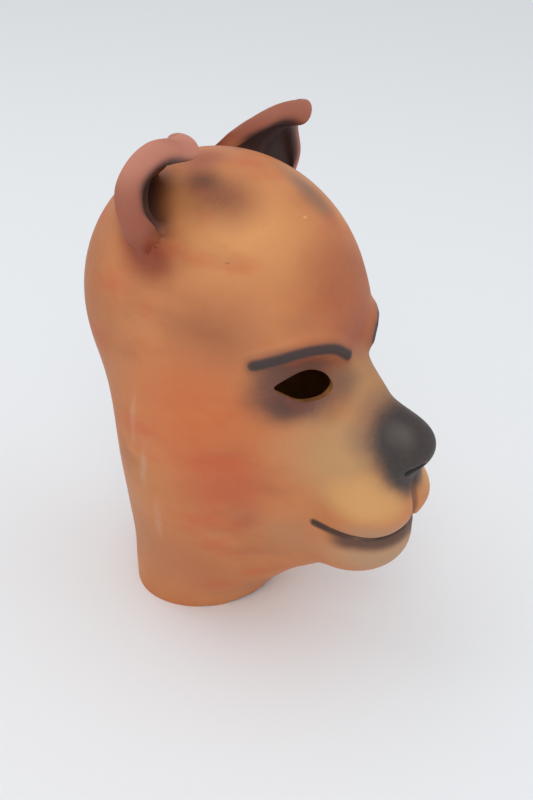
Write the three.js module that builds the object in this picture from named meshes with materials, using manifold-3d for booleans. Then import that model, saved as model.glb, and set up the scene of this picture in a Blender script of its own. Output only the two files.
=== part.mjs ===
// Moulded latex bear mask: one hollow casting that covers the whole head, open at the neck.
// Millimetres, +Z up, face towards -Y. The hem lies on z = 0 and the origin is under the middle.
import * as THREE from 'three';
import Module from 'manifold-3d';
import { mergeVertices } from 'three/addons/utils/BufferGeometryUtils.js';

// Driving sizes
const headHeight = 310; // hem to the crown between the ears
const headWidth = 164; // across the cheeks
const headDepth = 262; // back of the skull to the tip of the nose
const wall = 3; // latex skin
const earHeight = 62; // root of an ear to its tip
const earRim = 7.6; // radius of the rolled rim
const earWeb = 4.2; // half the thickness of an ear between rim and root
const eyeWidth = 40; // corner to corner of an eye hole
const eyeHeight = 21;
const browRadius = 4.4; // raised eyebrow roll
const mouthRadius = 2.7; // moulded mouth line
const nostrilRadius = 2.4;
const hemRise = 9; // how much higher the hem is cut under the chin
const hemFlat = 0.74; // cosine of the turn at which the hem starts to rise
const hemMargin = 12; // spare length of the hollow's tool below the hem

// Grid of each skin: steps around the head and steps from hem to crown
const around = 52;
const upward = 43;
const faceDense = 0.25; // how much closer the steps stand at the face

const wasm = await Module();
wasm.setup();

// Places are shares of the head: side of headWidth, fore of headDepth (forward), up of headHeight.
function place(side, fore, up) {
  return new THREE.Vector3(side * headWidth, -fore * headDepth, up * headHeight);
}

// Round forms that melt into each other. Radii and blend are shares too (blend of headWidth).
const forms = [
  { name: 'cranium', side: 0, fore: -0.098, up: 0.684, wide: 0.479, deep: 0.378, tall: 0.313, tilt: 0, blend: 0.18 },
  { name: 'neck', side: 0, fore: -0.103, up: 0.13, wide: 0.36, deep: 0.174, tall: 0.613, tilt: -2, blend: 0.28 },
  { name: 'throat', side: 0, fore: 0.021, up: 0.142, wide: 0.293, deep: 0.158, tall: 0.092, tilt: -2, blend: 0.27 },
  { name: 'brow', side: 0, fore: 0.088, up: 0.664, wide: 0.354, deep: 0.128, tall: 0.084, tilt: 0, blend: 0.18 },
  { name: 'cheek', side: 0.244, fore: -0.021, up: 0.392, wide: 0.244, deep: 0.191, tall: 0.213, tilt: 0, blend: 0.27 },
  { name: 'muzzle', side: 0, fore: 0.227, up: 0.361, wide: 0.255, deep: 0.147, tall: 0.21, tilt: 0, blend: 0.22 },
  { name: 'bridge', side: 0, fore: 0.278, up: 0.53, wide: 0.092, deep: 0.127, tall: 0.092, tilt: -31, blend: 0.16 },
  { name: 'snout', side: 0.085, fore: 0.315, up: 0.45, wide: 0.14, deep: 0.135, tall: 0.09, tilt: -20, blend: 0.134 },
  { name: 'nose', side: 0, fore: 0.426, up: 0.504, wide: 0.121, deep: 0.093, tall: 0.06, tilt: -15, blend: 0.085 },
  { name: 'lip', side: 0.092, fore: 0.393, up: 0.37, wide: 0.165, deep: 0.103, tall: 0.066, tilt: 0, blend: 0.11 },
  { name: 'jaw', side: 0, fore: 0.325, up: 0.285, wide: 0.225, deep: 0.163, tall: 0.105, tilt: 0, blend: 0.05 },
];

// Shallow sockets pressed into the forms, same columns
const sockets = [
  { name: 'eye', side: 0.268, fore: 0.29, up: 0.622, wide: 0.12, deep: 0.06, tall: 0.048, tilt: 0, blend: 0.1 },
];

// Eyebrow rolls, one path on each side, from the temple to the root of the nose
const browPath = [
  { side: 0.376, fore: 0.158, up: 0.677, size: 0.75 },
  { side: 0.322, fore: 0.196, up: 0.69, size: 0.85 },
  { side: 0.262, fore: 0.225, up: 0.701, size: 0.9 },
  { side: 0.198, fore: 0.251, up: 0.705, size: 1 },
  { side: 0.142, fore: 0.268, up: 0.7, size: 1.1 },
  { side: 0.09, fore: 0.281, up: 0.681, size: 1 },
];

// Grooves pressed in: the mouth line, the parting of the upper lip and the nostrils
const mouthPath = [
  { side: 0.253, fore: 0.272, up: 0.337, size: 0.6 },
  { side: 0.241, fore: 0.355, up: 0.324, size: 1 },
  { side: 0.224, fore: 0.42, up: 0.325, size: 1.1 },
  { side: 0.171, fore: 0.455, up: 0.325, size: 1.2 },
  { side: 0.079, fore: 0.48, up: 0.33, size: 1.2 },
  { side: 0, fore: 0.491, up: 0.336, size: 1.2 },
];
const partingPath = [
  { side: 0, fore: 0.487, up: 0.43, size: 0.7 },
  { side: 0, fore: 0.497, up: 0.39, size: 0.9 },
  { side: 0, fore: 0.493, up: 0.345, size: 1 },
];
const nostrilPath = [
  { side: 0.064, fore: 0.48, up: 0.47, size: 0.9 },
  { side: 0.03, fore: 0.502, up: 0.482, size: 1 },
];

// Fan of rays that reaches every part of the skin once. Each row is a height on the skin, at the back
// of the head and at the face: where the ray starts and how steeply it climbs, in degrees.
const fanRows = [
  { v: 0.0, backUp: 0.0, backClimb: 0, faceFore: -0.076, faceUp: 0.0, faceClimb: 0 },
  { v: 0.05, backUp: 0.045, backClimb: 0, faceFore: -0.02, faceUp: 0.116, faceClimb: -22 },
  { v: 0.11, backUp: 0.11, backClimb: 0, faceFore: 0.115, faceUp: 0.258, faceClimb: -62 },
  { v: 0.19, backUp: 0.2, backClimb: 0, faceFore: 0.237, faceUp: 0.348, faceClimb: -48 },
  { v: 0.28, backUp: 0.297, backClimb: 0, faceFore: 0.275, faceUp: 0.381, faceClimb: -24 },
  { v: 0.37, backUp: 0.394, backClimb: 0, faceFore: 0.29, faceUp: 0.419, faceClimb: 0 },
  { v: 0.47, backUp: 0.49, backClimb: 0, faceFore: 0.29, faceUp: 0.468, faceClimb: 16 },
  { v: 0.58, backUp: 0.587, backClimb: 2, faceFore: 0.229, faceUp: 0.548, faceClimb: 22 },
  { v: 0.68, backUp: 0.658, backClimb: 10, faceFore: 0.115, faceUp: 0.619, faceClimb: 28 },
  { v: 0.77, backUp: 0.69, backClimb: 26, faceFore: 0.0, faceUp: 0.661, faceClimb: 38 },
  { v: 0.87, backUp: 0.697, backClimb: 48, faceFore: -0.076, faceUp: 0.684, faceClimb: 54 },
  { v: 1.0, backUp: 0.697, backClimb: 90, faceFore: -0.095, faceUp: 0.697, faceClimb: 90 },
];
const axisFore = -0.095; // axis of the fan behind the face

// One ear from its foot on the crown, over the tip, to its foot on the temple. The root follows the
// head; the rim stands off it by shares of earHeight (out, fore, up), rolled to a share of earRim.
const earRows = [
  { side: 0.135, fore: -0.250, up: 0.893, out: 0.06, ahead: 0.00, rise: 0.08, roll: 0.55, belly: 0.00 },
  { side: 0.178, fore: -0.250, up: 0.919, out: 0.06, ahead: 0.03, rise: 0.11, roll: 0.62, belly: 0.00 },
  { side: 0.212, fore: -0.248, up: 0.924, out: 0.07, ahead: 0.23, rise: 0.30, roll: 0.68, belly: 0.03 },
  { side: 0.243, fore: -0.243, up: 0.919, out: 0.09, ahead: 0.38, rise: 0.48, roll: 0.74, belly: 0.06 },
  { side: 0.272, fore: -0.234, up: 0.912, out: 0.14, ahead: 0.50, rise: 0.63, roll: 0.82, belly: 0.10 },
  { side: 0.301, fore: -0.222, up: 0.904, out: 0.14, ahead: 0.59, rise: 0.72, roll: 0.94, belly: 0.13 },
  { side: 0.329, fore: -0.208, up: 0.896, out: 0.11, ahead: 0.61, rise: 0.76, roll: 1.06, belly: 0.15 },
  { side: 0.354, fore: -0.195, up: 0.887, out: 0.13, ahead: 0.49, rise: 0.78, roll: 1.14, belly: 0.15 },
  { side: 0.372, fore: -0.183, up: 0.877, out: 0.16, ahead: 0.30, rise: 0.78, roll: 1.16, belly: 0.13 },
  { side: 0.384, fore: -0.168, up: 0.871, out: 0.26, ahead: 0.15, rise: 0.68, roll: 1.14, belly: 0.10 },
  { side: 0.396, fore: -0.153, up: 0.865, out: 0.32, ahead: 0.05, rise: 0.51, roll: 1.12, belly: 0.06 },
  { side: 0.409, fore: -0.137, up: 0.853, out: 0.29, ahead: 0.04, rise: 0.31, roll: 1.05, belly: 0.04 },
  { side: 0.402, fore: -0.125, up: 0.845, out: 0.12, ahead: 0.03, rise: 0.13, roll: 0.95, belly: 0.02 },
  { side: 0.375, fore: -0.120, up: 0.835, out: 0.03, ahead: 0.00, rise: 0.03, roll: 0.80, belly: 0.00 },
  { side: 0.330, fore: -0.120, up: 0.820, out: 0.00, ahead: 0.00, rise: 0.00, roll: 0.60, belly: 0.00 },
];
const earMouth = { side: 0.305, fore: -0.057, up: 0.95 }; // middle of the cup's mouth
const earSteps = 26;
const earSink = 0.14; // share of earHeight that the root goes into the head

// Eye hole: middle of the hole on the face, and its outline in shares of eyeWidth and eyeHeight
const eyeMiddle = { side: 0.228, fore: 0.24, up: 0.618 };
const eyeTurn = 34; // degrees that the hole faces away from straight ahead
const eyeLine = [
  { along: -0.5, high: 0.1 },
  { along: -0.3, high: 0.33 },
  { along: 0.06, high: 0.5 },
  { along: 0.38, high: 0.27 },
  { along: 0.5, high: -0.1 },
  { along: 0.36, high: -0.45 },
  { along: 0.04, high: -0.56 },
  { along: -0.27, high: -0.28 },
];
const eyeReach = 16; // half the length of the eye hole's tool

function smoothLow(a, b, k) {
  const h = Math.max(k - Math.abs(a - b), 0) / k;
  return Math.min(a, b) - h * h * k * 0.25;
}

// Distance to an ellipsoid, negative inside
function roundForm(p, form, mirror) {
  const tilt = THREE.MathUtils.degToRad(form.tilt);
  const x = p.x - mirror * form.side * headWidth;
  const y0 = p.y + form.fore * headDepth;
  const z0 = p.z - form.up * headHeight;
  const y = y0 * Math.cos(tilt) + z0 * Math.sin(tilt);
  const z = z0 * Math.cos(tilt) - y0 * Math.sin(tilt);
  const rx = form.wide * headWidth;
  const ry = form.deep * headDepth;
  const rz = form.tall * headHeight;
  const k0 = Math.hypot(x / rx, y / ry, z / rz) + 1e-9;
  const k1 = Math.hypot(x / (rx * rx), y / (ry * ry), z / (rz * rz)) + 1e-9;
  return (k0 * (k0 - 1)) / k1;
}

// Distance to a round bar that follows a path of the face on the side of p
function roundBar(p, path, radius) {
  let best = Infinity;
  for (let i = 0; i + 1 < path.length; i += 1) {
    const a = place(path[i].side, path[i].fore, path[i].up);
    const b = place(path[i + 1].side, path[i + 1].fore, path[i + 1].up);
    const ab = b.clone().sub(a);
    const q = new THREE.Vector3(Math.abs(p.x), p.y, p.z).sub(a);
    const t = THREE.MathUtils.clamp(q.dot(ab) / ab.lengthSq(), 0, 1);
    const size = THREE.MathUtils.lerp(path[i].size, path[i + 1].size, t);
    best = Math.min(best, q.addScaledVector(ab, -t).length() - radius * size);
  }
  return best;
}

function mirrors(form) {
  return form.side === 0 ? [1] : [1, -1];
}

// The skin's outer face is where this is zero
function field(p) {
  let d = Infinity;
  for (const form of forms) {
    for (const mirror of mirrors(form)) {
      const e = roundForm(p, form, mirror);
      d = d === Infinity ? e : smoothLow(d, e, form.blend * headWidth);
    }
  }
  for (const form of sockets) {
    for (const mirror of mirrors(form)) {
      d = -smoothLow(-d, roundForm(p, form, mirror), form.blend * headWidth);
    }
  }
  d = smoothLow(d, roundBar(p, browPath, browRadius), browRadius * 1.8);
  d = -smoothLow(-d, roundBar(p, mouthPath, mouthRadius), mouthRadius);
  d = -smoothLow(-d, roundBar(p, partingPath, mouthRadius), mouthRadius * 1.5);
  d = -smoothLow(-d, roundBar(p, nostrilPath, nostrilRadius), nostrilRadius);
  return d;
}

function fromTable(v, column) {
  let i = 0;
  while (i < fanRows.length - 2 && v > fanRows[i + 1].v) i += 1;
  const t = (v - fanRows[i].v) / (fanRows[i + 1].v - fanRows[i].v);
  return THREE.MathUtils.lerp(fanRows[i][column], fanRows[i + 1][column], t);
}

// Height of the knife-cut hem: flat at the back and sides, rising under the chin
function hemHeight(u) {
  const front = THREE.MathUtils.clamp((Math.cos(u) - hemFlat) / (1 - hemFlat), 0, 1);
  return hemRise * front * front;
}

// Ray of the fan: u turns around the head from the face, v climbs from hem to crown
function fanRay(u, v) {
  const w = ((1 + Math.cos(u)) / 2) ** 1.5;
  const fore = THREE.MathUtils.lerp(axisFore, fromTable(v, 'faceFore'), w);
  const up = THREE.MathUtils.lerp(fromTable(v, 'backUp'), fromTable(v, 'faceUp'), w);
  const climb = THREE.MathUtils.degToRad(
    THREE.MathUtils.lerp(fromTable(v, 'backClimb'), fromTable(v, 'faceClimb'), w),
  );
  const start = place(0, fore, up);
  if (v === 0) start.z = hemHeight(u);
  const flat = Math.cos(climb);
  const aim = new THREE.Vector3(Math.sin(u) * flat, -Math.cos(u) * flat, Math.sin(climb));
  return { start, aim };
}

// First point of a ray where the field reaches a level: short steps out, then halving
function reach(ray, level) {
  const p = new THREE.Vector3();
  const step = wall;
  const valueAt = (t) => field(p.copy(ray.start).addScaledVector(ray.aim, t)) - level;
  let far = 0;
  while (valueAt(far) < 0) far += step;
  let near = Math.max(far - step, 0);
  for (let i = 0; i < 14; i += 1) {
    const middle = (near + far) / 2;
    if (valueAt(middle) < 0) near = middle;
    else far = middle;
  }
  return ray.start.clone().addScaledVector(ray.aim, far);
}

// Closed skin of the fan at a level, its foot dropped by some length below the hem
function skinPoints(level, drop) {
  const rows = [];
  for (let j = 0; j < upward; j += 1) {
    const row = [];
    for (let i = 0; i < around; i += 1) {
      const turn = (i / around) * Math.PI * 2;
      const u = turn - faceDense * Math.sin(turn);
      row.push(reach(fanRay(u, j / upward), level));
    }
    rows.push(row);
  }
  if (drop > 0) rows.unshift(rows[0].map((p) => p.clone().setZ(p.z - drop)));
  const foot = place(0, axisFore, 0);
  foot.z = -drop;
  const top = reach(fanRay(0, 1), level);
  return { rows, foot, top };
}

// Closed mesh from rings of points with one point at each end
function ringSolid(rings, first, last) {
  const count = rings[0].length;
  const points = [first, ...rings.flat(), last];
  const index = [];
  for (let i = 0; i < count; i += 1) {
    const n = (i + 1) % count;
    index.push(0, 1 + n, 1 + i);
    for (let j = 0; j + 1 < rings.length; j += 1) {
      const a = 1 + j * count;
      const b = a + count;
      const rising = points[a + i].distanceTo(points[b + n]);
      const falling = points[a + n].distanceTo(points[b + i]);
      if (rising < falling) index.push(a + i, a + n, b + n, a + i, b + n, b + i);
      else index.push(a + i, a + n, b + i, a + n, b + n, b + i);
    }
    const end = 1 + (rings.length - 1) * count;
    index.push(end + i, end + n, points.length - 1);
  }
  const geometry = new THREE.BufferGeometry().setFromPoints(points);
  geometry.setIndex(index);
  return toSolid(geometry);
}

function toSolid(geometry) {
  const bare = geometry.clone();
  bare.deleteAttribute('normal');
  bare.deleteAttribute('uv');
  const merged = mergeVertices(bare, 1e-4);
  const solid = new wasm.Manifold(
    new wasm.Mesh({
      numProp: 3,
      vertProperties: new Float32Array(merged.attributes.position.array),
      triVerts: new Uint32Array(merged.index.array),
    }),
  );
  return solid;
}

// Ear: the profile of a web with a rolled rim, swept from the crown to the temple
function earSolid(mirror) {
  const rootPoints = earRows.map((row) => place(row.side, row.fore, row.up));
  const rimPoints = earRows.map((row, i) => {
    const off = new THREE.Vector3(row.out, -row.ahead, row.rise).multiplyScalar(earHeight);
    return rootPoints[i].clone().add(off);
  });
  const rootCurve = new THREE.CatmullRomCurve3(rootPoints, false, 'centripetal');
  const rimCurve = new THREE.CatmullRomCurve3(rimPoints, false, 'centripetal');
  const mouth = place(earMouth.side, earMouth.fore, earMouth.up);
  const rings = [];
  for (let j = 0; j <= earSteps; j += 1) {
    const s = j / earSteps;
    const at = s * (earRows.length - 1);
    const i = Math.min(Math.floor(at), earRows.length - 2);
    const roll = THREE.MathUtils.lerp(earRows[i].roll, earRows[i + 1].roll, at - i) * earRim;
    const belly = THREE.MathUtils.lerp(earRows[i].belly, earRows[i + 1].belly, at - i) * earHeight;
    const root = rootCurve.getPoint(s);
    const rim = rimCurve.getPoint(s);
    const rise = rim.clone().sub(root);
    const length = rise.length();
    rise.normalize();
    const away = root.clone().add(rim).multiplyScalar(0.5).sub(mouth);
    away.addScaledVector(rise, -away.dot(rise)).normalize();
    const web = Math.min(earWeb, roll * 0.8);
    const ring = [];
    const add = (high, out) => {
      ring.push(root.clone().addScaledVector(rise, high).addScaledVector(away, out));
    };
    add(-earSink * earHeight, web * 1.5);
    for (const h of [0.2, 0.45, 0.7]) {
      const swell = (roll - web) * h * h * 1.6;
      add(length * h, web + swell + belly * Math.sin(Math.PI * h));
    }
    for (const degrees of [115, 75, 35, 0, -35, -75, -115]) {
      const angle = THREE.MathUtils.degToRad(degrees);
      add(length + roll * Math.cos(angle), roll * Math.sin(angle));
    }
    for (const h of [0.7, 0.45, 0.2]) add(length * h, -web + belly * Math.sin(Math.PI * h));
    add(-earSink * earHeight, -web * 1.5);
    for (const p of ring) p.x *= mirror;
    rings.push(mirror > 0 ? ring : ring.reverse());
  }
  const middle = (ring) => ring.reduce((sum, p) => sum.add(p), new THREE.Vector3()).divideScalar(ring.length);
  return ringSolid(rings, middle(rings[0]), middle(rings[rings.length - 1]));
}

// Tool that cuts an almond-shaped eye hole square to the face
function eyeTool(mirror) {
  const outline = eyeLine.map((p) => new THREE.Vector3(p.along * eyeWidth, p.high * eyeHeight, 0));
  const smooth = new THREE.CatmullRomCurve3(outline, true, 'centripetal');
  const shape = new THREE.Shape(smooth.getPoints(28).slice(0, -1).map((p) => new THREE.Vector2(p.x, p.y)));
  const geometry = new THREE.ExtrudeGeometry(shape, { depth: 2 * eyeReach, bevelEnabled: false, steps: 1 });
  geometry.translate(0, 0, -eyeReach);
  if (mirror > 0) geometry.rotateY(Math.PI);
  const turn = new THREE.Matrix4().makeRotationX(Math.PI / 2);
  turn.premultiply(new THREE.Matrix4().makeRotationZ(THREE.MathUtils.degToRad(mirror * eyeTurn)));
  geometry.applyMatrix4(turn);
  const middle = place(mirror * eyeMiddle.side, eyeMiddle.fore, eyeMiddle.up);
  geometry.translate(middle.x, middle.y, middle.z);
  return toSolid(geometry);
}

const outer = skinPoints(0, 0);
const inner = skinPoints(-wall, hemMargin);
let solid = ringSolid(outer.rows, outer.foot, outer.top);
solid = solid.add(earSolid(1)).add(earSolid(-1));
solid = solid.subtract(ringSolid(inner.rows, inner.foot, inner.top));
solid = solid.subtract(eyeTool(1)).subtract(eyeTool(-1));

const cut = solid.getMesh();
const skin = new THREE.BufferGeometry();
skin.setAttribute('position', new THREE.BufferAttribute(new Float32Array(cut.vertProperties), 3));
skin.setIndex(new THREE.BufferAttribute(new Uint32Array(cut.triVerts), 1));
skin.computeVertexNormals();
skin.computeBoundingBox();

const mask = new THREE.Mesh(
  skin,
  new THREE.MeshStandardMaterial({ color: 0xc47a45, roughness: 0.62, metalness: 0 }),
);
mask.name = 'mask_shell';
mask.position.y = -(skin.boundingBox.min.y + skin.boundingBox.max.y) / 2;

const bearMask = new THREE.Group();
bearMask.add(mask);

export default bearMask;
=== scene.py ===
import math
import bpy
import numpy as np
from mathutils import Matrix, Vector


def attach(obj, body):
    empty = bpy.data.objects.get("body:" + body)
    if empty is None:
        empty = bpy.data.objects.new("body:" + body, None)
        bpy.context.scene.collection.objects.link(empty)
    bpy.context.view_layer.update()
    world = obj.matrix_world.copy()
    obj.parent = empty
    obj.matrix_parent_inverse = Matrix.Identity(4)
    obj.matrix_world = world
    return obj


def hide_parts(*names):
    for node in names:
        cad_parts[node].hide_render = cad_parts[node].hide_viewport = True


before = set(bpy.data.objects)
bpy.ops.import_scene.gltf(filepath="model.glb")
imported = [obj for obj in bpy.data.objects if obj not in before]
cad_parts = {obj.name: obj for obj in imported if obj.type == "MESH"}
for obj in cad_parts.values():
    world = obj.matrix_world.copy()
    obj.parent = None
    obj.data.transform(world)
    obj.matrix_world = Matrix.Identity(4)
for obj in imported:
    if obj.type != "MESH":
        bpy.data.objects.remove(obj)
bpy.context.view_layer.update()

# Lengths below are millimetres until a mesh is made. The table's y = 0 lies shiftY behind the frame's.
head = {
    "height": 310.0,      # hem to crown
    "width": 164.0,
    "depth": 262.0,
    "wall": 3.0,
    "shiftY": 5.413,
    "around": 208,        # grid steps of the outer skin
    "upward": 184,
    "innerAround": 120,
    "innerUpward": 104,
    "faceDense": 0.38,    # how much closer the steps stand at the face
    "browRadius": 4.4,
    "mouthRadius": 2.7,
    "nostrilRadius": 2.4,
    "hemRise": 9.0,
    "hemFlat": 0.74,
    "hemMargin": 12.0,    # how far the hollow's tool hangs below the hem
    "axisFore": -0.095,   # where the fan's rays start, as a share of the depth
    "rayStep": 3.0,
    "rayHalvings": 13,
    "slopeStep": 0.4,
}

# Round forms: side, fore, up, wide, deep, tall, tilt, blend (shares of width, depth and height)
headForms = [
    (0, -0.098, 0.684, 0.479, 0.378, 0.313, 0, 0.18),
    (0, -0.103, 0.13, 0.36, 0.174, 0.613, -2, 0.28),
    (0, 0.021, 0.142, 0.293, 0.158, 0.092, -2, 0.27),
    (0, 0.088, 0.664, 0.354, 0.128, 0.084, 0, 0.18),
    (0.244, -0.021, 0.392, 0.244, 0.191, 0.213, 0, 0.27),
    (0, 0.227, 0.361, 0.255, 0.147, 0.21, 0, 0.22),
    (0, 0.278, 0.53, 0.092, 0.127, 0.092, -31, 0.16),
    (0.085, 0.315, 0.45, 0.14, 0.135, 0.09, -20, 0.134),
    (0, 0.426, 0.504, 0.121, 0.093, 0.06, -15, 0.085),
    (0.092, 0.393, 0.37, 0.165, 0.103, 0.066, 0, 0.11),
    (0, 0.325, 0.285, 0.225, 0.163, 0.105, 0, 0.05),
]
eyeSocket = (0.268, 0.29, 0.622, 0.12, 0.06, 0.048, 0, 0.1)

# Rolls and grooves: side, fore, up, size
browPath = [
    (0.376, 0.158, 0.677, 0.75), (0.322, 0.196, 0.69, 0.85), (0.262, 0.225, 0.701, 0.9),
    (0.198, 0.251, 0.705, 1), (0.142, 0.268, 0.7, 1.1), (0.09, 0.281, 0.681, 1),
]
mouthPath = [
    (0.25, 0.31, 0.33, 0.35), (0.241, 0.355, 0.324, 0.8), (0.224, 0.42, 0.325, 1.1),
    (0.171, 0.455, 0.325, 1.2), (0.079, 0.48, 0.33, 1.2), (0, 0.491, 0.336, 1.2),
]
partingPath = [(0, 0.487, 0.43, 0.7), (0, 0.497, 0.39, 0.9), (0, 0.493, 0.345, 1)]
nostrilPath = [(0.064, 0.48, 0.47, 0.9), (0.03, 0.502, 0.482, 1)]

# Fan of rays: v, back up, back climb, face fore, face up, face climb
fanRows = np.array([
    (0.0, 0.0, 0, -0.076, 0.0, 0),
    (0.05, 0.045, 0, -0.02, 0.116, -22),
    (0.11, 0.11, 0, 0.115, 0.258, -62),
    (0.19, 0.2, 0, 0.237, 0.348, -48),
    (0.28, 0.297, 0, 0.275, 0.381, -24),
    (0.37, 0.394, 0, 0.29, 0.419, 0),
    (0.47, 0.49, 0, 0.29, 0.468, 16),
    (0.58, 0.587, 2, 0.229, 0.548, 22),
    (0.68, 0.658, 10, 0.115, 0.619, 28),
    (0.77, 0.69, 26, 0.0, 0.661, 38),
    (0.87, 0.697, 48, -0.076, 0.684, 54),
    (1.0, 0.697, 90, -0.095, 0.697, 90),
])


def place(side, fore, up):
    return np.stack(np.broadcast_arrays(side * head["width"], -fore * head["depth"], up * head["height"]), -1)


# Copy of the points with x turned positive, so one side's shapes serve both
def foldX(p):
    q = p.copy()
    q[..., 0] = np.abs(q[..., 0])
    return q


# Smooth minimum: the lower value, less a quarter of k where the two are equal
def smoothLow(a, b, k):
    h = np.maximum(k - np.abs(a - b), 0) / k
    return np.minimum(a, b) - h * h * k * 0.25


# Ellipsoid: k0 (k0 - 1) / k1, with k0 the length of p over the radii and k1 that over their squares
def roundForm(p, form, mirror):
    side, fore, up, wide, deep, tall, tilt, _ = form
    c, s = math.cos(math.radians(tilt)), math.sin(math.radians(tilt))
    q = p - place(mirror * side, fore, up)
    q = np.stack([q[..., 0], q[..., 1] * c + q[..., 2] * s, q[..., 2] * c - q[..., 1] * s], -1)
    radii = np.array([wide * head["width"], deep * head["depth"], tall * head["height"]])
    k0 = np.linalg.norm(q / radii, axis=-1) + 1e-9
    k1 = np.linalg.norm(q / radii ** 2, axis=-1) + 1e-9
    return k0 * (k0 - 1) / k1


# Round bar: distance from |x|, y, z to the nearest piece of a path, less radius times size
def roundBar(p, path, radius):
    q = foldX(p)
    best = np.full(p.shape[:-1], np.inf)
    for one, two in zip(path[:-1], path[1:]):
        a, b = place(*one[:3]), place(*two[:3])
        t = np.clip((q - a) @ (b - a) / ((b - a) @ (b - a)), 0, 1)
        size = one[3] + (two[3] - one[3]) * t
        best = np.minimum(best, np.linalg.norm(q - a - t[..., None] * (b - a), axis=-1) - radius * size)
    return best


# The forms melt into one, the eye sockets are pressed in, brows are added and grooves cut
def headField(p):
    d = None
    for form in headForms:
        for mirror in ((1,) if form[0] == 0 else (1, -1)):
            e = roundForm(p, form, mirror)
            d = e if d is None else smoothLow(d, e, form[7] * head["width"])
    for mirror in (1, -1):
        d = -smoothLow(-d, roundForm(p, eyeSocket, mirror), eyeSocket[7] * head["width"])
    d = smoothLow(d, roundBar(p, browPath, head["browRadius"]), head["browRadius"] * 1.8)
    d = -smoothLow(-d, roundBar(p, mouthPath, head["mouthRadius"]), head["mouthRadius"])
    d = -smoothLow(-d, roundBar(p, partingPath, head["mouthRadius"]), head["mouthRadius"] * 1.5)
    return -smoothLow(-d, roundBar(p, nostrilPath, head["nostrilRadius"]), head["nostrilRadius"])


# Knife-cut hem: flat at the back and sides, rising under the chin, with a few nicks where the knife
# turned (each a bell curve around its turn)
hemNicks = [(5.28, 0.05, 1.1), (5.62, 0.035, 1.6), (5.74, 0.03, -0.9), (0.66, 0.05, 0.9), (3.6, 0.06, 0.7)]


def hemHeight(u):
    front = np.clip((np.cos(u) - head["hemFlat"]) / (1 - head["hemFlat"]), 0, 1)
    nicks = sum(high * np.exp(-((u - at) / wide) ** 2) for at, wide, high in hemNicks)
    return np.maximum(head["hemRise"] * front ** 2 + nicks, 0)


# Fan ray at u around the head and v up it: start and aim run from the back's row to the face's by w
def fanRays(u, v):
    w = ((1 + np.cos(u)) / 2) ** 1.5
    backUp, backClimb, faceFore, faceUp, faceClimb = (
        np.interp(v, fanRows[:, 0], fanRows[:, k]) for k in range(1, 6)
    )
    fore = head["axisFore"] + (faceFore - head["axisFore"]) * w
    start = place(np.zeros_like(u), fore, backUp + (faceUp - backUp) * w)
    start[..., 2] = np.where(v == 0, hemHeight(u), start[..., 2])
    climb = np.radians(backClimb + (faceClimb - backClimb) * w)
    aim = np.stack([np.sin(u) * np.cos(climb), -np.cos(u) * np.cos(climb), np.sin(climb)], -1)
    return start, aim


# First place on each ray where the field reaches a level: even steps out, then halving
def reachSkin(start, aim, level):
    shape = start.shape
    start, aim = start.reshape(-1, 3), aim.reshape(-1, 3)
    far = np.zeros(len(start))
    live = np.arange(len(start))
    while len(live):
        inside = headField(start[live] + aim[live] * far[live, None]) < level
        live = live[inside]
        far[live] += head["rayStep"]
    near = np.maximum(far - head["rayStep"], 0)
    for _ in range(head["rayHalvings"]):
        middle = (near + far) / 2
        inside = headField(start + aim * middle[:, None]) < level
        near = np.where(inside, middle, near)
        far = np.where(inside, far, middle)
    return (start + aim * far[:, None]).reshape(shape)


# Skin of the fan: rows of points from hem to crown, the foot dropped by some length
def skinRings(level, drop, around, upward):
    turn = np.arange(around) / around * 2 * math.pi
    u, v = np.meshgrid(turn - head["faceDense"] * np.sin(turn), np.arange(upward) / upward)
    rings = reachSkin(*fanRays(u, v), level)
    if drop:
        rings = np.concatenate([rings[:1] - [0, 0, drop], rings])
    foot = place(0.0, head["axisFore"], 0.0) - [0, 0, drop]
    top = reachSkin(*fanRays(np.zeros(1), np.ones(1)), level)[0]
    return rings, foot, top


# Closed mesh from rings of points with one point at each end, faces outwards
def ringMesh(name, rings, first, last):
    rows, count = rings.shape[:2]
    points = np.concatenate([[first], rings.reshape(-1, 3), [last]])
    points = (points + [0, head["shiftY"], 0]) / 1000
    i = np.arange(count)
    n = (i + 1) % count
    base = 1 + np.arange(rows - 1)[:, None] * count
    quads = np.stack([base + i, base + n, base + count + n, base + count + i], -1).reshape(-1, 4)
    end = 1 + (rows - 1) * count
    low = np.stack([np.zeros_like(i), 1 + n, 1 + i], -1)
    high = np.stack([end + i, end + n, np.full_like(i, len(points) - 1)], -1)
    mesh = bpy.data.meshes.new(name)
    mesh.from_pydata(points.tolist(), [], low.tolist() + quads.tolist() + high.tolist())
    mesh.update()
    made = bpy.data.objects.new(name, mesh)
    bpy.context.scene.collection.objects.link(made)
    return made


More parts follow.
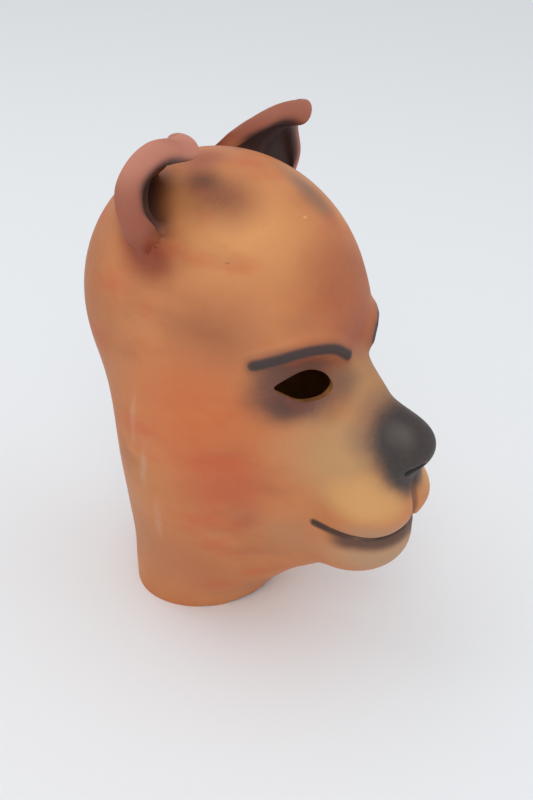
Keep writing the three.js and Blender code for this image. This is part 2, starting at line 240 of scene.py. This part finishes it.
# Centripetal Catmull-Rom curve along the first axis of an array of points
def curveThrough(points, count, closed=False):
    points = np.asarray(points, float)
    if closed:
        points = np.concatenate([points[-1:], points, points[:2]])
    else:
        points = np.concatenate([2 * points[:1] - points[1:2], points, 2 * points[-1:] - points[-2:-1]])
    spans = len(points) - 3
    at = np.arange(count) / count * spans if closed else np.linspace(0, spans, count)
    i = np.minimum(at.astype(int), spans - 1)
    t = (at - i).reshape((-1,) + (1,) * (points.ndim - 1))
    a, b, c, d = (points[i + k] for k in range(4))
    gap = [
        np.maximum(np.linalg.norm(y - x, axis=-1, keepdims=True), 1e-6) ** 0.5
        for x, y in ((a, b), (b, c), (c, d))
    ]
    leave = ((b - a) / gap[0] - (c - a) / (gap[0] + gap[1]) + (c - b) / gap[1]) * gap[1]
    meet = ((c - b) / gap[1] - (d - b) / (gap[1] + gap[2]) + (d - c) / gap[2]) * gap[1]
    return b + leave * t + (3 * (c - b) - 2 * leave - meet) * t ** 2 + (2 * (b - c) + leave + meet) * t ** 3


def unit(v):
    return v / np.maximum(np.linalg.norm(v, axis=-1, keepdims=True), 1e-9)


# Slope of the field by central differences
def skinNormal(p):
    shifts = np.eye(3) * head["slopeStep"]
    return unit(np.stack([headField(p + s) - headField(p - s) for s in shifts], -1))


# Nearest place on the skin: the point steps back along the slope by the value of the field
def dropToSkin(p):
    for _ in range(4):
        p = p - skinNormal(p) * headField(p)[..., None]
    return p


ear = {
    "height": 62.0,
    "rim": 7.6,
    "web": 4.2,
    "sink": 0.14,         # share of the height that the root goes into the head
    "mouth": (0.305, -0.057, 0.95),
    "steps": 120,
    "profileSteps": 66,
    "flareOut": 9.0,      # how far the foot spreads over the head on its outer and inner face
    "flareIn": 13.0,
}
# Foot on the crown to foot on the temple: side, fore, up of the root; out, ahead, rise of the rim
# as shares of the ear's height; roll and belly as shares of rim and height
earRows = np.array([
    (0.135, -0.250, 0.893, 0.06, 0.00, 0.08, 0.55, 0.00),
    (0.178, -0.250, 0.919, 0.06, 0.03, 0.11, 0.62, 0.00),
    (0.212, -0.248, 0.924, 0.07, 0.23, 0.30, 0.68, 0.03),
    (0.243, -0.243, 0.919, 0.09, 0.38, 0.48, 0.74, 0.06),
    (0.272, -0.234, 0.912, 0.14, 0.50, 0.63, 0.82, 0.10),
    (0.301, -0.222, 0.904, 0.14, 0.59, 0.72, 0.94, 0.13),
    (0.329, -0.208, 0.896, 0.11, 0.61, 0.76, 1.06, 0.15),
    (0.354, -0.195, 0.887, 0.13, 0.49, 0.78, 1.14, 0.15),
    (0.372, -0.183, 0.877, 0.16, 0.30, 0.78, 1.16, 0.13),
    (0.384, -0.168, 0.871, 0.26, 0.15, 0.68, 1.14, 0.10),
    (0.396, -0.153, 0.865, 0.32, 0.05, 0.51, 1.12, 0.06),
    (0.409, -0.137, 0.853, 0.29, 0.04, 0.31, 1.05, 0.04),
    (0.402, -0.125, 0.845, 0.12, 0.03, 0.13, 0.95, 0.02),
    (0.375, -0.120, 0.835, 0.03, 0.00, 0.03, 0.80, 0.00),
    (0.330, -0.120, 0.820, 0.00, 0.00, 0.00, 0.60, 0.00),
])


# Lines of an ear: its root on the head, its rim, the way it rises and the way its back faces
def earLines(count):
    root = place(earRows[:, 0], earRows[:, 1], earRows[:, 2])
    rim = root + earRows[:, 3:6] * [1, -1, 1] * ear["height"]
    sizes = np.stack([earRows[:, 6] * ear["rim"], earRows[:, 7] * ear["height"], np.zeros(len(earRows))], -1)
    lines = curveThrough(np.stack([root, rim, sizes], 1), count)
    root, rim, roll, belly = lines[:, 0], lines[:, 1], lines[:, 2, 0], lines[:, 2, 1]
    length = np.linalg.norm(rim - root, axis=-1)
    rise = unit(rim - root)
    away = (root + rim) / 2 - place(*ear["mouth"])
    away = unit(away - (away * rise).sum(-1, keepdims=True) * rise)
    return root, rim, rise, away, length, roll, belly


# Ear: a web with a rolled rim carried from the crown to the temple, its foot flared onto the head
def earMesh(name, mirror):
    root, rim, rise, away, length, roll, belly = earLines(ear["steps"])
    web = np.minimum(ear["web"], roll * 0.8)
    skin = dropToSkin(root)
    normal = skinNormal(skin)
    stand = np.clip(headField(rim) / 10, 0, 1)

    def on(high, out):
        return root + rise * np.asarray(high)[..., None] + away * np.asarray(out)[..., None]

    def webPoint(share, sign):
        swell = (roll - web) * share ** 2 * 1.6 * (sign > 0)
        return on(length * share, sign * web + swell + belly * math.sin(math.pi * share))

    def foot(sign, flare):
        flat = unit(away - (away * normal).sum(-1, keepdims=True) * normal) * sign
        high = np.minimum(flare, 0.4 * length) * stand
        out = sign * web + belly * np.sin(math.pi * high / length)
        top = skin + rise * high[:, None] + away * out[:, None]
        corner = dropToSkin(skin + flat * web[:, None])
        edge = dropToSkin(skin + flat * (web + flare * stand)[:, None])
        edge = edge - skinNormal(edge) * (0.6 + 4 * (1 - stand))[:, None]
        return edge, (top + 2 * corner + edge) / 4 - normal * (4 * (1 - stand))[:, None], top

    outer, inner = foot(1, ear["flareOut"]), foot(-1, ear["flareIn"])
    sunk = -ear["sink"] * ear["height"]
    ring = [on(sunk, 1.5 * web), *outer, webPoint(0.45, 1), webPoint(0.7, 1)]
    for degrees in (115, 75, 35, 0, -35, -75, -115):
        over, across = math.cos(math.radians(degrees)), math.sin(math.radians(degrees))
        ring.append(on(length + roll * over, roll * across))
    ring += [webPoint(0.7, -1), webPoint(0.45, -1), *inner[::-1], on(sunk, -1.5 * web)]
    rings = curveThrough(np.stack(ring), ear["profileSteps"]).transpose(1, 0, 2) * [mirror, 1, 1]
    if mirror < 0:
        rings = rings[:, ::-1]
    return ringMesh(name, rings, rings[0].mean(0), rings[-1].mean(0))


eye = {
    "width": 40.0,
    "height": 21.0,
    "middle": (0.228, 0.24, 0.618),
    "turn": 34,
    "reach": 16.0,
    "steps": 72,
}
# Outline of an eye hole in shares of its width and height
eyeLine = [
    (-0.5, 0.1), (-0.3, 0.33), (0.06, 0.5), (0.38, 0.27),
    (0.5, -0.1), (0.36, -0.45), (0.04, -0.56), (-0.27, -0.28),
]


# Prism through the outline of an eye hole, square to the face there
def eyeTool(name, mirror):
    line = curveThrough([(a * eye["width"], b * eye["height"], 0) for a, b in eyeLine], eye["steps"], True)
    deep = np.linspace(-1, 1, 3)[:, None] * eye["reach"]
    flat = np.stack(np.broadcast_arrays(line[:, 0] * -mirror, deep, line[:, 1]), -1)
    c, s = math.cos(math.radians(mirror * eye["turn"])), math.sin(math.radians(mirror * eye["turn"]))
    x, y, z = flat[..., 0], flat[..., 1], flat[..., 2]
    turned = np.stack([x * c - y * s, x * s + y * c, z], -1)
    side, fore, up = eye["middle"]
    rings = turned + place(mirror * side, fore, up)
    area = (line[:, 0] * np.roll(line[:, 1], -1) - line[:, 1] * np.roll(line[:, 0], -1)).sum() * mirror
    if area < 0:
        rings = rings[::-1]
    return ringMesh(name, rings, rings[0].mean(0), rings[-1].mean(0))


print("skins")
outerRings, outerFoot, outerTop = skinRings(0.0, 0.0, head["around"], head["upward"])
innerRings, innerFoot, innerTop = skinRings(
    -head["wall"], head["hemMargin"], head["innerAround"], head["innerUpward"]
)
blank = ringMesh("skinBlank", outerRings, outerFoot, outerTop)
tools = [
    ("UNION", earMesh("earLeftBlank", 1)),
    ("UNION", earMesh("earRightBlank", -1)),
    ("DIFFERENCE", ringMesh("hollowBlank", innerRings, innerFoot, innerTop)),
    ("DIFFERENCE", eyeTool("eyeLeftTool", 1)),
    ("DIFFERENCE", eyeTool("eyeRightTool", -1)),
]
print("joining")
for way, tool in tools:
    modifier = blank.modifiers.new(tool.name, "BOOLEAN")
    modifier.operation = way
    modifier.object = tool
    modifier.solver = "MANIFOLD"
joined = bpy.data.meshes.new_from_object(blank.evaluated_get(bpy.context.evaluated_depsgraph_get()))
joined.name = "bearMask"
mask = bpy.data.objects.new("bearMask", joined)
bpy.context.scene.collection.objects.link(mask)
for scrap in [blank] + [tool for _, tool in tools]:
    bpy.data.objects.remove(scrap)
print("mask", len(joined.vertices), "points", sum(len(p.vertices) - 2 for p in joined.polygons), "triangles")

points = np.empty(len(joined.vertices) * 3, np.float32)
joined.vertices.foreach_get("co", points)
points = points.reshape(-1, 3).astype(float) * 1000 - [0, head["shiftY"], 0]
edges = np.empty(len(joined.edges) * 2, np.int32)
joined.edges.foreach_get("vertices", edges)
here, there = edges.reshape(-1, 2).T
valence = np.bincount(edges, minlength=len(points))

# Soften the join of ear and head: each point there moves towards the mean of its neighbours
join = {
    "above": 225,         # only points higher and further out than this can be near an ear
    "outside": 10,
    "rootReach": 22, "rootFade": 8,
    "liftReach": 12, "liftFade": 5,
    "deepest": -1.2,      # points deeper in the skin stay
    "rounds": 26,
    "share": 0.5,
}
root = earLines(60)[0]
rootGap = np.full(len(points), 1e9)
nearEar = np.nonzero((points[:, 2] > join["above"]) & (np.abs(points[:, 0]) > join["outside"]))[0]
rootGap[nearEar] = np.linalg.norm(foldX(points)[nearEar, None] - root[None], axis=-1).min(1)
lift = headField(points)
soft = np.clip((join["rootReach"] - rootGap) / join["rootFade"], 0, 1)
soft = soft * np.clip((join["liftReach"] - lift) / join["liftFade"], 0, 1) * (lift > join["deepest"])
for _ in range(join["rounds"]):
    total = np.zeros_like(points)
    for axis in range(3):
        total[:, axis] += np.bincount(here, points[there, axis], len(points))
        total[:, axis] += np.bincount(there, points[here, axis], len(points))
    points += (total / valence[:, None] - points) * (join["share"] * soft)[:, None]
joined.vertices.foreach_set("co", ((points + [0, head["shiftY"], 0]) / 1000).astype(np.float32).ravel())
joined.shade_smooth()
joined.set_sharp_from_angle(angle=math.radians(42))
joined.update()

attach(mask, "root")
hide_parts("mask_shell")


# Smooth step: 3 t squared less 2 t cubed, with t the share of the way from low to high
def shareOf(x, low, high):
    t = np.clip((x - low) / (high - low), 0, 1)
    return t * t * (3 - 2 * t)


# Where each ear colour, painted highlight and painted shade lies: two ends of a smooth step, in millimetres,
# apart from the two shares
earPaint = {
    "lines": 240,
    "above": 225,
    "outside": 8,
    "reach": 90,
    "inward": (-5.5, 1.5),       # along the way that the ear's back faces
    "skinLift": (1.5, 13),
    "skinFoot": (3, 12),
    # Painted highlight on the ear tops: heights where it starts and is full, then its strength on each side
    "litUp": (290, 320),
    "litSides": (1, 0.15),      # shares on the bear's right and left
    "darkLift": (2, 12),
    "rimShare": (0.86, 1.0),     # share of the way from root to rim
    "behind": (16, 34),
    "cupFoot": (5, 17),
    "amberFoot": (9, 30),
    "ringFoot": (9, 27),
}


# Ear paint, painted highlight and painted shade from the place in the ear's web (share of the way up it, side
# of it, distance from its root)
def earMasks(p, lift):
    root, rim, rise, away, length, roll, belly = earLines(earPaint["lines"])
    near = np.nonzero((p[:, 2] > earPaint["above"]) & (np.abs(p[:, 0]) > earPaint["outside"]))[0]
    gap = foldX(p)[near, None] - root[None]
    share = np.clip((gap * rise).sum(-1) / length, 0, 1.2)
    apart = np.linalg.norm(gap - share[..., None] * (length[:, None] * rise), axis=-1)
    best = apart.argmin(1)
    pick = np.arange(len(near))
    share = share[pick, best]
    side = (gap[pick, best] * away[best]).sum(-1) - belly[best] * np.sin(math.pi * np.minimum(share, 1))
    foot = np.linalg.norm(gap, axis=-1).min(1)
    up = lift[near]
    inward = 1 - shareOf(side, *earPaint["inward"])
    inside = 1 - shareOf(share, *earPaint["rimShare"])
    behind = inward * shareOf(p[near, 1], *earPaint["behind"])
    high = shareOf(p[near, 2], *earPaint["litUp"])
    skin = shareOf(up, *earPaint["skinLift"]) * shareOf(foot, *earPaint["skinFoot"])
    skin = skin * (foot < earPaint["reach"])
    found = {
        "earSkin": skin,
        # painted highlight: the ear tops lighter, stronger on the bear's right
        "earLitTop": skin * high * np.where(p[near, 0] < 0, *earPaint["litSides"]),
        # dark paint inside the ear cup, deepened with painted shade under the rim and an amber-brown shade at
        # the cup's floor
        "earDarkShade": inward * shareOf(up, *earPaint["darkLift"]) * inside,
        "earCupShade": behind * (1 - shareOf(foot, *earPaint["cupFoot"])) * inside,
        "earAmberShade": behind * (1 - shareOf(foot, *earPaint["amberFoot"])),
        # red-brown paint round the ear's foot, darkened with painted shade in the crease where the ear meets
        # the head
        "earFoot": (1 - shareOf(foot, *earPaint["ringFoot"])) * (1 - inward),
    }
    whole = {name: np.zeros(len(p)) for name in found}
    for name, values in found.items():
        whole[name][near] = values
    return whole


facePaint = {
    "browSteps": 70,
    "browMiddle": (0, -20, 0),   # upright line that the brow's path moves away from
    "browRounds": 14,
    "underReach": (6, 17),       # shade below the mouth: distance, drop below the lips, how far forward
    "underDrop": (-1.0, 2.5),
    "underFore": (82, 104),
    "muzzleEnds": (-82, -46),    # where the mottling fades out towards the muzzle
}
# Height where the lips meet, by distance from the middle
lipLine = np.array([(0, 104), (13, 102), (28, 100.7), (37, 100.7), (39.5, 100.5), (41.5, 104.5)])

# Masks that follow the form, kept as point attributes: how near a roll, groove or ear is.
# The brow paint runs along the crest of the roll, so its path is moved level outwards to the skin first.
lift = headField(points)
browLine = curveThrough([place(*row[:3]) for row in browPath], facePaint["browSteps"])
outwards = unit((browLine - facePaint["browMiddle"]) * [1, 1, 0])
for _ in range(facePaint["browRounds"]):
    browLine = browLine - outwards * headField(browLine)[:, None]
mouthGap = roundBar(points, mouthPath, 0)
lipDrop = np.interp(np.abs(points[:, 0]), lipLine[:, 0], lipLine[:, 1]) - points[:, 2]
masks = {
    "browGap": np.linalg.norm(foldX(points)[:, None] - browLine[None], axis=-1).min(1),
    "mouthGap": mouthGap,
    "mouthUnder": (1 - shareOf(mouthGap, *facePaint["underReach"]))
    * shareOf(lipDrop, *facePaint["underDrop"])
    * shareOf(-points[:, 1], *facePaint["underFore"]),
    "nostrilGap": roundBar(points, nostrilPath, 0),
    "partingGap": roundBar(points, partingPath, 0),
    "headShare": shareOf(points[:, 1], *facePaint["muzzleEnds"]),
}
# Each ear mask, paint and painted highlight and shade alike, is softened by spreading it a little over the
# points next to it
softenRounds = 14
for name, values in earMasks(points, lift).items():
    for _ in range(softenRounds):
        total = np.bincount(here, values[there], len(points)) + np.bincount(there, values[here], len(points))
        values = (values + total / valence) / 2
    masks[name] = values
for name, values in masks.items():
    joined.attributes.new(name, "FLOAT", "POINT").data.foreach_set("value", np.asarray(values, np.float32))

# Faces by depth in the skin: painted outside, raw latex inside, knife-cut faces between
centres = np.empty(len(joined.polygons) * 3, np.float32)
joined.polygons.foreach_get("center", centres)
depth = headField(centres.reshape(-1, 3).astype(float) * 1000 - [0, head["shiftY"], 0])
skinDeep = 0.45
finish = np.where(depth > -skinDeep, 0, np.where(depth < -head["wall"] + skinDeep, 1, 2)).astype(np.int32)


# Screen colour to light: ((c / 255 + 0.055) / 1.055) to the power 2.4, less what the tone holds back
def linear(red, green, blue, keep=(1, 1, 1)):
    return [k * ((c / 255 + 0.055) / 1.055) ** 2.4 for c, k in zip((red, green, blue), keep)] + [1]


sprayTone = (1.0, 0.95, 0.9)  # sprayed colours dry a little darker and warmer than they are mixed


# Principled material with short ways to add nodes to it
class Paint:
    def __init__(self, name):
        self.material = bpy.data.materials.new(name)
        self.material.use_nodes = True
        self.tree = self.material.node_tree
        self.shader = self.tree.nodes["Principled BSDF"]

    def node(self, kind, **settings):
        made = self.tree.nodes.new("ShaderNode" + kind)
        for key, value in settings.items():
            setattr(made, key, value)
        return made

    def feed(self, socket, value):
        if isinstance(value, bpy.types.NodeSocket):
            self.tree.links.new(value, socket)
        else:
            socket.default_value = value

    def math(self, way, *values):
        made = self.node("Math", operation=way)
        for socket, value in zip(made.inputs, values):
            self.feed(socket, value)
        return made.outputs[0]

    def vector(self, way, *values):
        made = self.node("VectorMath", operation=way)
        for socket, value in zip(made.inputs, values):
            self.feed(socket, value)
        return made.outputs["Value" if way == "LENGTH" else "Vector"]

    def ramp(self, value, low, high, atLow, atHigh):
        made = self.node("MapRange", interpolation_type="SMOOTHSTEP")
        self.feed(made.inputs["Value"], value)
        for name, number in (("From Min", low), ("From Max", high), ("To Min", atLow), ("To Max", atHigh)):
            self.feed(made.inputs[name], number)
        return made.outputs["Result"]

    def mix(self, amount, below, above):
        made = self.node("Mix", data_type="RGBA")
        self.feed(made.inputs["Factor"], amount)
        self.feed(made.inputs[6], below)
        self.feed(made.inputs[7], above)
        return made.outputs[2]

    def noise(self, place, scale, detail, roughness=0.5):
        made = self.node("TexNoise")
        self.feed(made.inputs["Vector"], place)
        for name, number in (("Scale", scale), ("Detail", detail), ("Roughness", roughness)):
            made.inputs[name].default_value = number
        return made

    def mask(self, name):
        return self.node("Attribute", attribute_name=name).outputs["Fac"]


# Colours laid on in order: place and radii in millimetres, edge where the spray starts to thin,
# colour, strength. Most rows are the mask's sprayed paint; rows with a note above them are painted highlights
# and painted shade. The place holds for both sides, apart from rows marked one.
sprays = [
    ("backOfHead", (45, 92, 200), (90, 80, 120), 0.1, (176, 110, 66), 0.8, "both"),
    # Painted highlight: the top of the crown lighter, where light falls from above.
    ("crownHighlight", (46, -14, 282), (62, 66, 50), 0.05, (218, 154, 98), 0.95, "both"),
    ("crownBack", (70, 50, 244), (30, 40, 34), 0.05, (204, 130, 78), 0.8, "both"),
    ("templeShade", (74, -22, 222), (44, 50, 34), 0.02, (168, 106, 70), 0.85, "both"),
    ("cheekGlow", (80, -14, 168), (50, 80, 62), 0.05, (202, 112, 66), 0.9, "both"),
    ("lowCheek", (72, -34, 120), (42, 50, 46), 0.02, (190, 98, 64), 0.9, "both"),
    # Painted shade under the jaw.
    ("jawShade", (58, -34, 96), (26, 30, 24), 0.05, (160, 92, 70), 0.6, "both"),
    ("neckSide", (62, -10, 50), (56, 80, 50), 0.1, (182, 114, 76), 0.8, "both"),
    ("neckBack", (72, 48, 70), (26, 44, 90), 0.1, (186, 132, 94), 0.6, "both"),
    ("foreheadFront", (0, -66, 240), (60, 48, 60), 0.3, (170, 98, 64), 0.95, "both"),
    ("browCentre", (0, -80, 214), (24, 30, 36), 0.2, (158, 90, 66), 0.85, "both"),
    ("ridgeSmudge", (8, -26, 294), (16, 46, 28), 0.05, (132, 104, 88), 0.85, "one"),
    ("crownSmudge", (39, 5, 294), (32, 36, 26), 0.05, (138, 80, 54), 0.9, "both"),
    ("crownSmudgeBack", (35, 22, 300), (17, 19, 16), 0.1, (98, 56, 40), 0.8, "both"),
    ("crownPink", (18, 34, 306), (24, 20, 14), 0.1, (158, 88, 72), 0.75, "both"),
    # Painted highlight: a tan strip on top of the brow roll.
    ("browTopHighlight", (40, -60, 234), (30, 16, 12), 0.1, (178, 116, 78), 0.5, "both"),
    ("cheekFront", (44, -66, 156), (26, 30, 34), 0.05, (196, 134, 90), 0.7, "both"),
    ("muzzleSide", (32, -92, 154), (42, 48, 46), 0.15, (190, 148, 102), 0.97, "both"),
    ("muzzleShade", (28, -98, 166), (14, 16, 16), 0.1, (166, 126, 92), 0.6, "both"),
    ("bridgeTan", (4, -90, 192), (24, 30, 30), 0.3, (176, 134, 94), 0.9, "both"),
    ("lobe", (30, -112, 130), (36, 36, 21), 0.35, (208, 158, 102), 0.95, "both"),
    ("lobeLow", (30, -118, 108), (36, 28, 12), 0.2, (178, 138, 106), 0.8, "both"),
    ("chin", (0, -108, 84), (58, 52, 22), 0.35, (180, 145, 114), 0.95, "both"),
    ("jawSide", (40, -66, 86), (32, 40, 28), 0.1, (182, 126, 90), 0.8, "both"),
    # Painted shade under the brow roll, over the eye socket.
    ("browShade", (42, -58, 205), (42, 30, 19), 0.25, (88, 58, 52), 0.95, "both"),
    ("eyeHalo", (43, -59, 190), (47, 38, 30), 0.4, (106, 72, 62), 0.92, "both"),
    ("eyeLow", (42, -60, 183), (28, 26, 15), 0.25, (90, 62, 58), 0.9, "both"),
    ("eyeInner", (17, -78, 194), (14, 16, 18), 0.1, (124, 92, 74), 0.75, "both"),
    ("noseBrown", (0, -120, 161), (43, 49, 43), 0.5, (112, 86, 74), 0.85, "both"),
    ("nose", (0, -124, 159), (35, 38, 37), 0.66, (60, 54, 54), 1.0, "both"),
    # Painted highlight: a greyish sheen on top of the nose.
    ("noseSheen", (12, -117, 170), (9, 15, 26), 0.05, (104, 97, 93), 0.5, "both"),
    # Painted highlight: a pale streak down the back of the neck, in three stacked spots.
    ("neckSheen", (81, 33, 152), (14, 5, 26), 0.05, (206, 160, 128), 0.5, "both"),
    ("neckSheenMid", (83, 22, 120), (14, 5, 24), 0.05, (200, 158, 134), 0.5, "both"),
    ("neckSheenLow", (77, 12, 82), (14, 5, 26), 0.05, (200, 156, 128), 0.4, "both"),
    ("scuffCrown", (-58, -14, 264), (3.4, 2.4, 0.9), 0.1, (140, 88, 56), 0.7, "one"),
    ("scuffTemple", (-73, 2, 241), (2.0, 2.4, 0.7), 0.1, (132, 84, 56), 0.7, "one"),
    ("scuffFore", (-12, -37, 286), (2.2, 2.8, 1.0), 0.1, (226, 180, 132), 0.7, "one"),
]

bare, browner = (199, 130, 82), (186, 116, 70)
latex = Paint("paintedLatex")
surface = latex.node("TexCoord").outputs["Object"]
shift = latex.vector("SUBTRACT", latex.noise(surface, 38, 3).outputs["Color"], (0.5, 0.5, 0.5))
drift = latex.vector("MULTIPLY", shift, (0.009, 0.009, 0.009))
loose = latex.vector("ADD", surface, drift)
parts = latex.node("SeparateXYZ")
latex.feed(parts.inputs[0], loose)
both = latex.node("CombineXYZ")
latex.feed(both.inputs[0], latex.math("ABSOLUTE", parts.outputs[0]))
latex.feed(both.inputs[1], parts.outputs[1])
latex.feed(both.inputs[2], parts.outputs[2])
mist = latex.noise(surface, 420, 2, 0.7).outputs["Fac"]
cloud = latex.noise(surface, 22, 4).outputs["Fac"]

cloudy = latex.ramp(cloud, 0.35, 0.7, 0, 0.5)
colour = latex.mix(cloudy, linear(*bare, sprayTone), linear(*browner, sprayTone))
for name, spot, radii, edge, shade, strength, kind in sprays:
    middle = [c / 1000 for c in (spot[0], spot[1] + head["shiftY"], spot[2])]
    off = latex.vector("SUBTRACT", both.outputs[0] if kind == "both" else loose, middle)
    off = latex.vector("DIVIDE", off, [c / 1000 for c in radii])
    amount = latex.ramp(latex.vector("LENGTH", off), edge, 1.0, strength, 0)
    amount = latex.math("MULTIPLY", amount, latex.ramp(mist, 0.25, 0.75, 0.93, 1.04))
    colour = latex.mix(amount, colour, linear(*shade, sprayTone))

# Hand-dabbed mottling behind the muzzle: scale across and up, where it starts, strength, colour
dabs = [
    ((20, 20, 44), 0.5, 0.72, 0.42, (196, 88, 54)),
    ((26, 26, 40), 0.5, 0.8, 0.2, (222, 152, 92)),
    ((14, 14, 26), 0.55, 0.75, 0.3, (146, 88, 62)),
]
for count, (scale, low, high, strength, shade) in enumerate(dabs):
    moved = latex.vector("ADD", latex.vector("MULTIPLY", surface, scale), (count * 7.3, count * 3.1, 0))
    patch = latex.ramp(latex.noise(moved, 1, 3, 0.5).outputs["Fac"], low, high, 0, strength)
    amount = latex.math("MULTIPLY", patch, latex.mask("headShare"))
    colour = latex.mix(amount, colour, linear(*shade, sprayTone))

# Colours that follow the rolls, grooves and ears: mask, its two ends, strength at each, colour
follow = [
    # red-brown paint and painted shade round the ear's foot
    ("earFoot", 0, 1, 0, 0.92, (142, 68, 46)),
    ("earSkin", 0, 1, 0, 0.92, (156, 93, 77)),
    # painted highlight on the ear tops
    ("earLitTop", 0, 1, 0, 0.7, (206, 142, 124)),
    # dark paint and painted shade inside the ear cups
    ("earAmberShade", 0, 1, 0, 0.85, (116, 64, 42)),
    ("earCupShade", 0, 1, 0, 0.9, (66, 48, 48)),
    ("earDarkShade", 0, 1, 0, 0.95, (52, 42, 44)),
    # painted shade under the mouth
    ("mouthUnder", 0, 1, 0, 0.92, (84, 60, 52)),
    ("mouthGap", 2.9, 4.9, 0.93, 0, (46, 32, 28)),
    ("partingGap", 2.6, 5.0, 0.7, 0, (96, 70, 54)),
    # painted shade: the shallow nostril groove darkened near black
    ("nostrilGap", 2.5, 4.0, 0.9, 0, (22, 18, 18)),
    ("browGap", 1.5, 9, 0.5, 0, (92, 60, 54)),
    ("browGap", 2.0, 4.8, 0.92, 0, (54, 47, 50)),
]
for name, low, high, atLow, atHigh, shade in follow:
    amount = latex.ramp(latex.mask(name), low, high, atLow, atHigh)
    colour = latex.mix(amount, colour, linear(*shade, sprayTone))
latex.feed(latex.shader.inputs["Base Color"], colour)
latex.feed(latex.shader.inputs["Roughness"], latex.ramp(cloud, 0.3, 0.7, 0.5, 0.62))
latex.shader.inputs["Specular IOR Level"].default_value = 0.34
pores = latex.noise(surface, 70, 5, 0.6).outputs["Fac"]
grain = latex.math("ADD", latex.math("MULTIPLY", mist, 0.3), latex.math("MULTIPLY", pores, 1.6))
bump = latex.node("Bump")
bump.inputs["Strength"].default_value = 0.5
bump.inputs["Distance"].default_value = 0.0006
latex.feed(bump.inputs["Height"], grain)
latex.feed(latex.shader.inputs["Normal"], bump.outputs[0])

raw = Paint("rawLatex")
rawPlace = raw.node("TexCoord").outputs["Object"]
rawCloud = raw.noise(rawPlace, 30, 4).outputs["Fac"]
rawColour = raw.mix(raw.ramp(rawCloud, 0.3, 0.7, 0, 1), linear(196, 138, 78), linear(168, 106, 56))
raw.feed(raw.shader.inputs["Base Color"], rawColour)
raw.feed(raw.shader.inputs["Roughness"], raw.ramp(rawCloud, 0.3, 0.7, 0.42, 0.6))
rawBump = raw.node("Bump")
rawBump.inputs["Strength"].default_value = 0.4
rawBump.inputs["Distance"].default_value = 0.001
raw.feed(rawBump.inputs["Height"], raw.noise(rawPlace, 120, 4).outputs["Fac"])
raw.feed(raw.shader.inputs["Normal"], rawBump.outputs[0])

cut = Paint("knifeCut")
cutGrain = cut.noise(cut.node("TexCoord").outputs["Object"], 260, 3).outputs["Fac"]
cutColour = cut.mix(cut.ramp(cutGrain, 0.3, 0.7, 0, 1), linear(176, 116, 62), linear(142, 88, 46))
cut.feed(cut.shader.inputs["Base Color"], cutColour)
cut.feed(cut.shader.inputs["Roughness"], cut.ramp(cutGrain, 0.3, 0.7, 0.5, 0.7))

joined.materials.clear()
for paint in (latex, raw, cut):
    joined.materials.append(paint.material)
joined.polygons.foreach_set("material_index", finish)
joined.update()
print("finishes", np.bincount(finish).tolist())

room = {"floorSize": 8.0, "floorColour": (240, 242, 244), "floorRoughness": 0.85, "aim": (0, 0, 0.15)}
half = room["floorSize"] / 2
corners = [(-half, -half, 0), (half, -half, 0), (half, half, 0), (-half, half, 0)]
floorMesh = bpy.data.meshes.new("studioFloor")
floorMesh.from_pydata(corners, [], [(0, 1, 2, 3)])
floor = bpy.data.objects.new("studioFloor", floorMesh)
bpy.context.scene.collection.objects.link(floor)
floorPaint = bpy.data.materials.new("studioPaper")
floorPaint.use_nodes = True
floorShader = floorPaint.node_tree.nodes["Principled BSDF"]
floorShader.inputs["Base Color"].default_value = linear(*room["floorColour"])
floorShader.inputs["Roughness"].default_value = room["floorRoughness"]
floorMesh.materials.append(floorPaint)

# Softboxes: name, place, size, watts, aimed at the mask's middle
softboxes = [
    ("keyBox", (-1.6, -0.9, 1.6), 1.2, 10.5),
    ("fillBox", (1.2, -1.9, 1.3), 1.6, 4),
    ("topBox", (-0.2, 0.9, 1.9), 1.4, 5),
]
for name, spot, size, watts in softboxes:
    lamp = bpy.data.lights.new(name, "AREA")
    lamp.shape = "SQUARE"
    lamp.size = size
    lamp.energy = watts
    box = bpy.data.objects.new(name, lamp)
    box.location = spot
    box.rotation_euler = (Vector(spot) - Vector(room["aim"])).to_track_quat("Z", "Y").to_euler()
    bpy.context.scene.collection.objects.link(box)
world = bpy.data.worlds.new("studioAir")
world.use_nodes = True
world.node_tree.nodes["Background"].inputs["Color"].default_value = (0.96, 0.98, 1, 1)
world.node_tree.nodes["Background"].inputs["Strength"].default_value = 0.76
bpy.context.scene.world = world
bpy.context.scene.view_settings.view_transform = "Standard"

# Camera on the photograph's side: turned about the mask by azimuth and elevation, rolled a little
cameraSettings = {
    "azimuth": -58.5,
    "elevation": 28.5,
    "roll": 5.2,
    "distance": 0.73,
    "target": (0, -0.0083, 0.15),
    "lens": 49.5,
    "sensor": 36,
    "clipStart": 0.02,
}
azimuth, climb, roll = (math.radians(cameraSettings[k]) for k in ("azimuth", "elevation", "roll"))
back = Vector((math.sin(azimuth) * math.cos(climb), -math.cos(azimuth) * math.cos(climb), math.sin(climb)))
right = (-back).cross(Vector((0, 0, 1))).normalized()
above = right.cross(-back)
cameraData = bpy.data.cameras.new("photoCamera")
cameraData.lens = cameraSettings["lens"]
cameraData.sensor_width = cameraSettings["sensor"]
cameraData.clip_start = cameraSettings["clipStart"]
camera = bpy.data.objects.new("photoCamera", cameraData)
rolledRight = math.cos(roll) * right + math.sin(roll) * above
rolledUp = math.cos(roll) * above - math.sin(roll) * right
turn = Matrix((rolledRight, rolledUp, back)).transposed()
spot = Vector(cameraSettings["target"]) + back * cameraSettings["distance"]
camera.matrix_world = Matrix.Translation(spot) @ turn.to_4x4()
bpy.context.scene.collection.objects.link(camera)
bpy.context.scene.camera = camera
